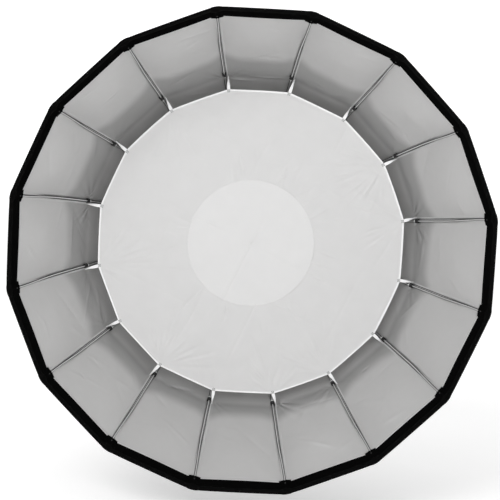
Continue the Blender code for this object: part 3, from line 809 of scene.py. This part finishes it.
def canopy_piece(rib, near, far):
    """One rib's cloth between two runs, as a closed mesh."""
    runs = band_rows(near, far)
    places = column_places(runs)
    at = np.broadcast_to(runs[:, None], places.shape)

    def lining_face(sideways, run):
        return canopy_point(rib, sideways, run, CLOTH + lining_relief(sideways, run))

    def shell_face(sideways, run):
        return canopy_point(rib, sideways, run, -shell_relief(sideways, run))

    inner, outer = lining_face(places, at), shell_face(places, at)
    grids = [inner[::-1], outer]
    normals = [surface_normals(lining_face, places, at)[::-1], -surface_normals(shell_face, places, at)]
    middle_runs = (at[1:, 1:] + at[:-1, 1:]) / 2
    middle_places = (places[1:, 1:] + places[:-1, 1:] + places[1:, :-1] + places[:-1, :-1]) / 4
    cut = np.full((1, places.shape[1] - 1), SHELL)
    lining_rows = lining_kinds(middle_places, middle_runs)[::-1]
    kinds = [lining_rows, cut, shell_kinds(middle_places, middle_runs), cut]
    flat = np.stack([places, at], axis=-1)
    uvs = [flat[::-1], flat]
    if near == 0:
        rim, rim_normals = rim_rows(rib, places[0], inner[0], outer[0])
        grids.insert(1, rim)
        normals.insert(1, rim_normals)
        kinds[1] = np.full((len(rim) + 1, places.shape[1] - 1), BINDING)
        uvs.insert(1, np.broadcast_to(flat[0], (len(rim), *flat[0].shape)))
    parts = [np.concatenate(rows) for rows in (grids, normals, uvs, kinds)]
    return swept_cloth(f"canopy_{number_of(rib)}", *parts)


def add_canopy():
    """All the canopy's pieces, each riding on its rib."""
    edges = band_edges()
    for rib, joint in enumerate(FOLDS):
        number = joint["name"][-2:]
        for band in range(BAND_COUNT):
            near, far = float(edges[band]), float(edges[band + 1])
            piece = new_object(f"canopy_{number}_{band + 1}", canopy_piece(rib, near, far), CANOPY_MATERIALS)
            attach(piece, f"rib_{number}")
            float(folded_share(far))
            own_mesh(piece)
            wide, narrow = (2 * HALF_GORE * float(radius_at(run)) for run in (near, far))
            if band == 0:
                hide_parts(f"canopy_panel_{number}")


# Rods ----------------------------------------


def rod_lean(rib, run):
    """How far a sprung rod leans sideways from its seam, between its pocket and the hub."""
    from_pocket = smooth((run - POCKET_LENGTH) / LEAN_EASE_FRONT)
    from_hub = smooth((REAR_RUN - STRAIGHT_AT_HUB - run) / LEAN_EASE_REAR)
    return ROD_SIDES_TAKEN[rib] * ROD_LEAN * from_pocket * from_hub


def rod_centre(rib, run):
    """A point on a rod's centre line."""
    out, side = rib_axes(rib)
    radius, height = rod_line(run)
    return radius * out + height * AXIS + rod_lean(rib, run) * side


def rod_ring(rib, run, thickness):
    """A ring of points round a rod, with each point's share of facing the light's axis, which places the
    rod's painted highlight, and its run.
    """
    ahead = rod_centre(rib, run - MM) - rod_centre(rib, run + MM)
    ahead /= np.linalg.norm(ahead)
    side = rib_axes(rib)[1]
    outward = np.cross(side, ahead)
    angles = np.linspace(0, 2 * math.pi, ROD_SIDES, endpoint=False)
    turned = np.cos(angles)[:, None] * side + np.sin(angles)[:, None] * outward
    marks = np.stack([-np.sin(angles), np.full(angles.shape, run)], axis=-1)
    return rod_centre(rib, run) + thickness * turned, marks


def tube(rings, number):
    """A closed tube through rings of points: points, marks, faces and material numbers."""
    points, marks = (np.concatenate(part) for part in zip(*rings))
    index = np.arange(len(points)).reshape(len(rings), -1)
    following = np.roll(index, -1, axis=1)
    sides = np.stack([index[:-1], following[:-1], following[1:], index[1:]], axis=-1).reshape(-1, 4)
    faces = [tuple(face) for face in sides] + [tuple(index[0, ::-1]), tuple(index[-1])]
    return points, marks, faces, [number] * len(faces)


def joined_mesh(name, parts):
    """One mesh from several tubes, with every face turned outwards."""
    points, marks, faces, kinds = [], [], [], []
    for part_points, part_marks, part_faces, part_kinds in parts:
        faces += [tuple(i + len(points) for i in face) for face in part_faces]
        points.extend(part_points)
        marks.extend(part_marks)
        kinds.extend(part_kinds)
    mesh = mesh_from(name, points, faces, kinds, marks)
    shape = bmesh.new()
    shape.from_mesh(mesh)
    bmesh.ops.recalc_face_normals(shape, faces=shape.faces)
    shape.to_mesh(mesh)
    shape.free()
    mesh.set_sharp_from_angle(angle=SHARP_ANGLE)
    return mesh


def collar(rib, middle, length, thickness, number):
    """A collar round a rod, with eased edges."""
    half = length / 2
    hidden = ROD_RADIUS * 0.9
    profile = [
        (-half, hidden),
        (-half, thickness - COLLAR_EASE),
        (-half + COLLAR_EASE, thickness),
        (half - COLLAR_EASE, thickness),
        (half, thickness - COLLAR_EASE),
        (half, hidden),
    ]
    return tube([rod_ring(rib, middle - along, radius) for along, radius in profile], number)


def add_rods():
    """The sprung rods, each with a tip cap, a clip and the strap's loop behind it."""
    materials = [rod_material(), moulded("clip_plastic", grey(0.003), grey(0.006), 0.6), white_tape]
    runs = np.linspace(float(run_at(ROD_START_RADIUS)), ROD_END_RUN, ROD_STATIONS)
    for rib in range(RIB_COUNT):
        number = number_of(rib)
        clip_run = STRAP_RUN + CLIP_BEHIND_STRAP - CLIP_RISE * rib_axes(rib)[0][2]
        loop_run = clip_run + CLIP_LENGTH / 2 + LOOP_LENGTH / 2 + LOOP_GAP
        rod = tube([rod_ring(rib, run, ROD_RADIUS) for run in runs], 0)
        cap = collar(rib, ROD_END_RUN + TIP_CAP_LENGTH * 0.45, TIP_CAP_LENGTH, TIP_CAP_RADIUS, 1)
        clip = collar(rib, clip_run, CLIP_LENGTH, CLIP_RADIUS, 1)
        loop = collar(rib, loop_run, LOOP_LENGTH, LOOP_RADIUS, 2)
        mesh = joined_mesh(f"rod_line_{number}", [rod, cap, clip, loop])
        piece = new_object(f"rod_line_{number}", mesh, materials)
        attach(piece, f"rib_{number}")
        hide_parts(f"rod_{number}")


# Baffle ----------------------------------------


def packing_folds(generator):
    """Straight folds left by packing: two crossing families of lines, in fainter and stronger parts."""
    rows = []
    for turn in (PACKING_TURN, PACKING_TURN + math.pi / 2):
        along = np.array([math.cos(turn), math.sin(turn)])
        across = np.array([-math.sin(turn), math.cos(turn)])
        for line in range(-4, 5):
            aside = PACKING_STEP * (line + generator.uniform(-0.2, 0.2))
            for part in range(-3, 4):
                place = PACKING_PART * (part + generator.uniform(-0.3, 0.3)) * along + aside * across
                length = PACKING_PART * generator.uniform(0.3, 0.7)
                height = generator.uniform(*PACKING_HEIGHTS) * MM
                rows.append((*place, turn, length, CREASE_WIDTH, height))
    return rows


def corner_folds(generator, rib):
    """Short folds that spread into the cloth from a corner of the baffle."""
    out, side = rib_axes(rib)
    rows = []
    for spread in np.linspace(-PULL_SPREAD, PULL_SPREAD, PULL_COUNT):
        turn = spread + generator.uniform(-0.07, 0.07)
        direction = math.sin(turn) * side - math.cos(turn) * out
        reach = generator.uniform(*PULL_REACHES)
        place = BAFFLE_CORNER * out + reach * direction
        height = CORNER_PULLS[rib] * generator.choice([-1, 1]) * generator.uniform(0.5, 1)
        heading = math.atan2(direction[2], direction[0])
        rows.append((place[0], place[2], heading, reach / 2, CREASE_WIDTH, height))
    return rows


def patch_ripples(generator):
    """Short ripples that run out from the seam round the patch."""
    rows = []
    for _ in range(RIPPLE_COUNT):
        angle = generator.uniform(0, 2 * math.pi)
        reach = PATCH_RADIUS + generator.uniform(*RIPPLE_PLACES)
        turn = angle + generator.uniform(-0.3, 0.3)
        length = generator.uniform(*RIPPLE_LENGTHS)
        height = generator.uniform(-RIPPLE_HEIGHT, RIPPLE_HEIGHT)
        rows.append((reach * math.cos(angle), reach * math.sin(angle), turn, length, CREASE_WIDTH, height))
    return rows


def baffle_crease_table():
    """All the seeded folds in the baffle."""
    generator = default_rng(SEED + 100)
    rows = packing_folds(generator) + patch_ripples(generator)
    for rib in range(RIB_COUNT):
        rows += corner_folds(generator, rib)
    return rows


CORNER_PULLS = default_rng(PULL_SEED).uniform(0.15, 1, RIB_COUNT) ** 2 * PULL_HEIGHT
BAFFLE_CREASES = baffle_crease_table()
EDGE_BOWS = default_rng(SEED + 200).uniform(0, EDGE_BOW, RIB_COUNT)


def baffle_height(x, z):
    """How far the baffle's cloth stands to the front at a place."""
    swell = np.sin(x / BAFFLE_SWELL_X + 1) * np.sin(z / BAFFLE_SWELL_Z + 2)
    return creases(BAFFLE_CREASES, x, z) + BAFFLE_SWELL * swell


def baffle_point(rib, share, radius, squareness, relief):
    """A point of the baffle's cloth. share is from -1 to 1 across the rib's sector."""
    angle = share * HALF_STEP
    straight = math.cos(HALF_STEP) / np.cos(HALF_STEP - np.abs(angle))
    gore = np.where(share >= 0, rib, (rib - 1) % RIB_COUNT)
    bow = EDGE_BOWS[gore] * np.abs(share) * (2 - np.abs(share)) * (radius / BAFFLE_CORNER) ** 6
    reach = radius * (1 + squareness * (straight - 1)) + bow
    out, side = rib_axes(rib)
    flat = reach[..., None] * (np.cos(angle)[..., None] * out + np.sin(angle)[..., None] * side)
    front = relief + baffle_height(flat[..., 0], flat[..., 2])
    return flat + (BAFFLE_Y - front)[..., None] * AXIS


def baffle_profile():
    """Rows of the baffle's section: radius, squareness, relief to the front and material."""
    half = BAFFLE_CLOTH / 2
    edge_start = BAFFLE_CORNER - BAFFLE_BINDING
    inner = [(r, 0.0, half + PATCH_RELIEF, 1) for r in np.linspace(0.2 * MM, PATCH_RADIUS - 4 * MM, 20)]
    seam = [
        (PATCH_RADIUS - 3 * MM, 0.0, half + PATCH_RELIEF * 0.7, 1),
        (PATCH_RADIUS - 1.5 * MM, 0.0, half + PATCH_RELIEF * 1.2, 1),
        (PATCH_RADIUS, 0.0, half + PATCH_RELIEF * 0.9, 0),
        (PATCH_RADIUS + 0.6 * MM, 0.0, half, 0),
    ]
    outer = []
    for radius in np.arange(PATCH_RADIUS + 4 * MM, edge_start, BAFFLE_ROW_STEP):
        squareness = float(smooth((radius - PATCH_RADIUS) / ROUND_TO_SQUARE))
        outer.append((float(radius), squareness, half, 0))
    border = [
        (edge_start + 0.5 * MM, 1.0, half + 0.5 * MM, 2),
        (BAFFLE_CORNER - 1.2 * MM, 1.0, half + 0.6 * MM, 2),
        (BAFFLE_CORNER, 1.0, half, 2),
        (BAFFLE_CORNER, 1.0, -half, 2),
        (BAFFLE_CORNER - 1.2 * MM, 1.0, -half - 0.6 * MM, 2),
        (edge_start + 0.5 * MM, 1.0, -half - 0.5 * MM, 0),
    ]
    front = inner + seam + outer
    back = [(r, q, -half, 0) for r, q, _, _ in reversed(inner + outer)]
    return front + border + back


def baffle_sector(rib):
    """One sixteenth of the baffle and its patch, as a closed sheet."""
    shares = np.linspace(-1, 1, BAFFLE_COLUMNS)
    radii, squareness, relief, numbers = (np.array(column)[:, None] for column in zip(*baffle_profile()))
    across = np.broadcast_to(shares, (len(radii), len(shares)))
    grid = baffle_point(rib, across, radii, squareness, relief)
    materials = np.broadcast_to(numbers, (len(radii), len(shares) - 1))
    return swept_cloth(f"baffle_{number_of(rib)}", grid, section_normals(grid), grid[..., [0, 2]], materials)


def band_ring(middle, wide, thick, marks):
    """A four-cornered ring for a flat band: its middle and its half width and half thickness as vectors."""
    corners = [(-1, -1), (1, -1), (1, 1), (-1, 1)]
    return np.array([middle + a * wide + b * thick for a, b in corners]), np.array([marks] * 4)


def strap_tube(rib):
    """The twisted tape from a corner of the baffle, past the rod, to the canopy's seam."""
    out, side = rib_axes(rib)
    corner = (BAFFLE_CORNER - STRAP_OVERLAP) * out + (BAFFLE_Y - BAFFLE_CLOTH - STRAP_CLOTH) * AXIS
    seam_radius = RIM_RADIUS * math.sqrt((LINE_START_Y - BAFFLE_Y) / LINE_DEPTH)
    end = (seam_radius - STRAP_OFF_SEAM) * out + BAFFLE_Y * AXIS - ROD_SIDES_TAKEN[rib] * ROD_LEAN * side
    twist = default_rng(SEED + 300 + rib).uniform(*STRAP_TWISTS) * ROD_SIDES_TAKEN[rib]
    rings = []
    for share in np.linspace(0, 1, 19):
        turn = twist * float(smooth((share - 0.25) / 0.75))
        width = STRAP_WIDTH + (STRAP_TIP_WIDTH - STRAP_WIDTH) * float(smooth((share - 0.3) / 0.7))
        wide = math.cos(turn) * side + math.sin(turn) * AXIS
        thick = math.cos(turn) * AXIS - math.sin(turn) * side
        middle = corner + (end - corner) * share
        marks = (share * STRAP_LENGTH, 0.0)
        rings.append(band_ring(middle, wide * width / 2, thick * STRAP_CLOTH / 2, marks))
    return tube(rings, 0)


def stitch_bar(start, stop, rise):
    """One straight run of stitches, as a thin bar that stands proud."""
    direction = (stop - start) / np.linalg.norm(stop - start)
    side = np.cross(direction, rise)
    rings = [band_ring(place, STITCH_HALF * side, STITCH_HALF * rise, (0.0, 0.0)) for place in (start, stop)]
    return tube(rings, 1)


def strap_stitches(rib):
    """The crossed box of stitches that holds a strap to the baffle."""
    out, side = rib_axes(rib)
    level = BAFFLE_Y - BAFFLE_CLOTH - 1.6 * STRAP_CLOTH
    half = STRAP_WIDTH / 2 - MM
    middle = BAFFLE_CORNER - STRAP_OVERLAP / 2
    square = [(-half, -half), (half, -half), (half, half), (-half, half)]
    corners = [(middle + a) * out + b * side + level * AXIS for a, b in square]
    bars = [stitch_bar(corners[k], corners[(k + 1) % 4], -AXIS) for k in range(4)]
    return bars + [stitch_bar(corners[k], corners[k + 2], -AXIS) for k in range(2)]


def add_baffle():
    """The baffle's sectors, and the strap from each corner, which rides on that corner's rib."""
    cloths = [white_cloth_material(), white_patch_material(), white_tape]
    thread = thread_material()
    for rib in range(RIB_COUNT):
        number = number_of(rib)
        sector = new_object(f"baffle_{number}", baffle_sector(rib), cloths)
        strap_mesh = joined_mesh(f"strap_{number}", [strap_tube(rib)] + strap_stitches(rib))
        strap = new_object(f"strap_{number}", strap_mesh, [white_tape, thread])
        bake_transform(sector)
        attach(strap, f"rib_{number}")
        if rib == 0:
            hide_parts("inner_baffle", "baffle_patch")


# Rear cuff ----------------------------------------


def cuff_faces():
    """Radius and height along the cuff, outside from the canopy's rear edge to the hub, and back inside."""
    middle = (REAR_Y + HEM_LOW.y) / 2
    outer = [
        (REAR_RADIUS - 0.5 * MM, REAR_Y - 1.5 * MM),
        (REAR_RADIUS - 2 * MM, middle + MM),
        (HEM_HIGH.x + MM, HEM_LOW.y + 3 * MM),
        (HEM_HIGH.x, HEM_HIGH.y),
        (PLATE_RADIUS + 1.6 * MM, HEM_HIGH.y + 1.2 * MM),
    ]
    inner = [
        (PLATE_RADIUS + 0.6 * MM, HEM_HIGH.y),
        (HEM_HIGH.x - 2 * MM, HEM_LOW.y + MM),
        (REAR_RADIUS - 3.4 * MM, middle - MM),
        (REAR_RADIUS - 1.6 * MM, REAR_Y - 3 * MM),
    ]
    return outer, inner


def cuff_sector(rib):
    """One sixteenth of the gathered cuff, as a closed sheet."""
    out, side = rib_axes(rib)
    shares = np.linspace(-1, 1, 33)
    angle = shares * HALF_STEP
    straight = math.cos(HALF_STEP) / np.cos(HALF_STEP - np.abs(angle))
    direction = np.cos(angle)[:, None] * out + np.sin(angle)[:, None] * side
    gather = CUFF_GATHER * np.cos(shares * math.pi * CUFF_GATHERS)
    outer, inner = cuff_faces()
    radii, heights = np.array(outer + inner).T
    reach = (radii[:, None] + gather) * straight
    grid = reach[..., None] * direction + heights[:, None, None] * AXIS
    uvs = np.stack([radii[:, None] * angle, np.broadcast_to(heights[:, None], reach.shape)], axis=-1)
    materials = np.zeros((len(radii), len(shares) - 1), dtype=int)
    return swept_cloth(f"cuff_{number_of(rib)}", grid, section_normals(grid), uvs, materials)


def add_cuff():
    """The gathered cloth that closes the canopy on the hub."""
    for rib in range(RIB_COUNT):
        number = number_of(rib)
        piece = new_object(f"cuff_{number}", cuff_sector(rib), [CANOPY_MATERIALS[SHELL]])
        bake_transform(piece)
        if rib == 0:
            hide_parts("rear_hem")


# Hub and controls ----------------------------------------


def finish_nodes(names, material, bevel):
    """Gives CAD nodes their material and eased edges."""
    for name in names:
        node = frame["nodes"][name]
        node.data.materials.clear()
        node.data.materials.append(material)
        modifier = node.modifiers.new("eased_edges", "BEVEL")
        modifier.width = bevel
        modifier.segments = 2
        modifier.limit_method = "ANGLE"
        modifier.angle_limit = SHARP_ANGLE


def add_hub_looks():
    """Materials of the CAD nodes that keep their own shape."""
    knuckles = [f"knuckle_{number_of(rib)}" for rib in range(RIB_COUNT)]
    satin = cast_metal("satin_aluminium", grey(0.42), grey(0.56), 0.32, 1.0)
    powder = cast_metal("black_powder_coat", grey(0.012), grey(0.022), 0.5, 0.0)
    wire = cast_metal("bright_wire", grey(0.5), grey(0.62), 0.25, 1.0)
    nylon = moulded("black_nylon_moulding", grey(0.014), grey(0.024), 0.5)
    grey_nylon = moulded("grey_nylon_moulding", grey(0.12), grey(0.16), 0.5)
    rubber = moulded("knob_rubber", grey(0.012), grey(0.02), 0.75)
    red = moulded("red_button", (0.36, 0.02, 0.015), (0.45, 0.03, 0.02), 0.35)
    finish_nodes(["bayonet_insert"], satin, ROUND_EDGE)
    finish_nodes(["retaining_ring"], satin, SMALL_EDGE)
    finish_nodes(["speed_ring", "cover_ring"], powder, ROUND_EDGE)
    finish_nodes(["pivot_wire"], wire, FINE_EDGE)
    finish_nodes(["runner_ring"], grey_nylon, SMALL_EDGE)
    finish_nodes(["swivel_lock_knob"], rubber, ROUND_EDGE)
    finish_nodes(["release_button"], red, ROUND_EDGE)
    finish_nodes(knuckles, nylon, SMALL_EDGE)
    add_screws(cast_metal("screw_steel", grey(0.16), grey(0.26), 0.3, 1.0))


def screw_mesh(name, centre):
    """A round screw head with a six-sided socket, facing the back."""
    angles = np.linspace(0, 2 * math.pi, 24, endpoint=False)
    circle = np.ones(angles.shape)
    hexagon = math.cos(math.pi / 6) / np.cos(np.mod(angles, math.pi / 3) - math.pi / 6)
    profile = [
        (SCREW_RADIUS, 0, circle),
        (SCREW_RADIUS, SCREW_HEIGHT * 0.6, circle),
        (SCREW_RADIUS * 0.8, SCREW_HEIGHT, circle),
        (SOCKET_RADIUS * 1.1, SCREW_HEIGHT, hexagon),
        (SOCKET_RADIUS, SCREW_HEIGHT * 0.9, hexagon),
        (SOCKET_RADIUS, SCREW_HEIGHT * 0.25, hexagon),
    ]
    rings = []
    for radius, height, outline in profile:
        reach = radius * outline
        ring = np.stack([reach * np.sin(angles), height * circle, reach * np.cos(angles)], axis=-1)
        rings.append((centre + ring, ring[:, [0, 2]]))
    return joined_mesh(name, [tube(rings, 0)])


def add_screws(metal):
    """The screws through the insert's flange to the retaining ring."""
    insert = np.array([vertex.co for vertex in frame["nodes"]["bayonet_insert"].data.vertices])
    radii = np.hypot(insert[:, 0], insert[:, 2])
    flange_rear = insert[radii > radii.max() - 0.1 * MM, 1].max()
    circle = (radii.max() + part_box("retaining_ring")[1].x) / 2
    for number in range(SCREW_COUNT):
        angle = 2 * math.pi * (number + 0.5) / SCREW_COUNT
        centre = np.array([circle * math.cos(angle), flange_rear, circle * math.sin(angle)])
        name = f"screw_{number + 1}"
        piece = new_object(name, screw_mesh(name, centre), [metal])
        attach(piece, "bayonet")


# Studio ----------------------------------------

CAMERA_DISTANCE = 3.5
CAMERA_RIGHT = -0.06
CAMERA_UP = 0.41
CAMERA_PITCH = math.radians(6.485)
CAMERA_YAW = math.radians(0.895)
CAMERA_ROLL = math.radians(3.02)
CAMERA_LENS = 105.1
FLOOR_DROP = 60 * MM
FLOOR_HALF = 12.0
BACKDROP_Y = 7.5
BACKDROP_HEIGHT = 8.5
SURROUND = 0.72
KEY_PLACE = (-1.7, RIM_Y - 3.4, 2.5)
KEY_SIZE = 2.0
KEY_POWER = 94
FILL_PLACE = (1.8, RIM_Y - 3.6, 0.4)
FILL_SIZE = 2.4
FILL_POWER = 14
FLOOR_GLOW = 0.25
BACKDROP_GLOW = 0.4


def add_camera():
    """The camera, a little above the axis and looking slightly down into the mouth."""
    camera = bpy.data.cameras.new("camera")
    camera.lens = CAMERA_LENS
    camera.sensor_width = 36
    camera.clip_end = 100
    obj = new_object("camera", camera)
    turn = (
        Matrix.Rotation(-CAMERA_YAW, 4, "Z")
        @ Matrix.Rotation(math.pi / 2 - CAMERA_PITCH, 4, "X")
        @ Matrix.Rotation(CAMERA_ROLL, 4, "Z")
    )
    obj.matrix_world = Matrix.Translation((CAMERA_RIGHT, RIM_Y - CAMERA_DISTANCE, CAMERA_UP)) @ turn
    bpy.context.scene.camera = obj


def add_light(name, place, size, power):
    """A soft square light that points at the middle of the baffle."""
    light = bpy.data.lights.new(name, "AREA")
    light.shape = "SQUARE"
    light.size = size
    light.energy = power
    obj = new_object(name, light)
    obj.location = place
    obj.rotation_euler = (Vector((0, BAFFLE_Y, 0)) - Vector(place)).to_track_quat("-Z", "Y").to_euler()


def add_sheet(name, corners, material):
    """A flat sheet that is part of the studio."""
    mesh = bpy.data.meshes.new(name)
    mesh.from_pydata(corners, [], [(0, 1, 2, 3)])
    new_object(name, mesh, [material])


def glowing(name, light, glow):
    """A pale surface that glows a little, so that it photographs white."""
    paint = Paint(name, 0.9, Emission_Color=(1, 1, 1, 1), Emission_Strength=glow)
    paint.colour(paint.noise(3, 2), grey(light - 0.02), grey(light))
    return paint.material


def add_studio():
    """A pale floor, a white backdrop far behind, an even surround and soft light from the front."""
    world = bpy.data.worlds.new("surround")
    world.use_nodes = True
    background = world.node_tree.nodes["Background"]
    background.inputs["Color"].default_value = (1, 1, 1, 1)
    background.inputs["Strength"].default_value = SURROUND
    bpy.context.scene.world = world
    bpy.context.scene.view_settings.view_transform = "Standard"
    low = cad_box[0].z - FLOOR_DROP
    high = low + BACKDROP_HEIGHT
    square = [(-1, -1), (1, -1), (1, 1), (-1, 1)]
    floor = [(x * FLOOR_HALF, y * FLOOR_HALF, low) for x, y in square]
    add_sheet("floor", floor, glowing("pale_floor", 0.92, FLOOR_GLOW))
    backdrop = [(x * FLOOR_HALF, BACKDROP_Y, high if z > 0 else low) for x, z in square]
    add_sheet("backdrop", backdrop, glowing("white_backdrop", 0.9, BACKDROP_GLOW))
    add_light("key_light", KEY_PLACE, KEY_SIZE, KEY_POWER)
    add_light("fill_light", FILL_PLACE, FILL_SIZE, FILL_POWER)


add_rods()
add_canopy()
add_baffle()
add_cuff()
add_hub_looks()
add_camera()
add_studio()
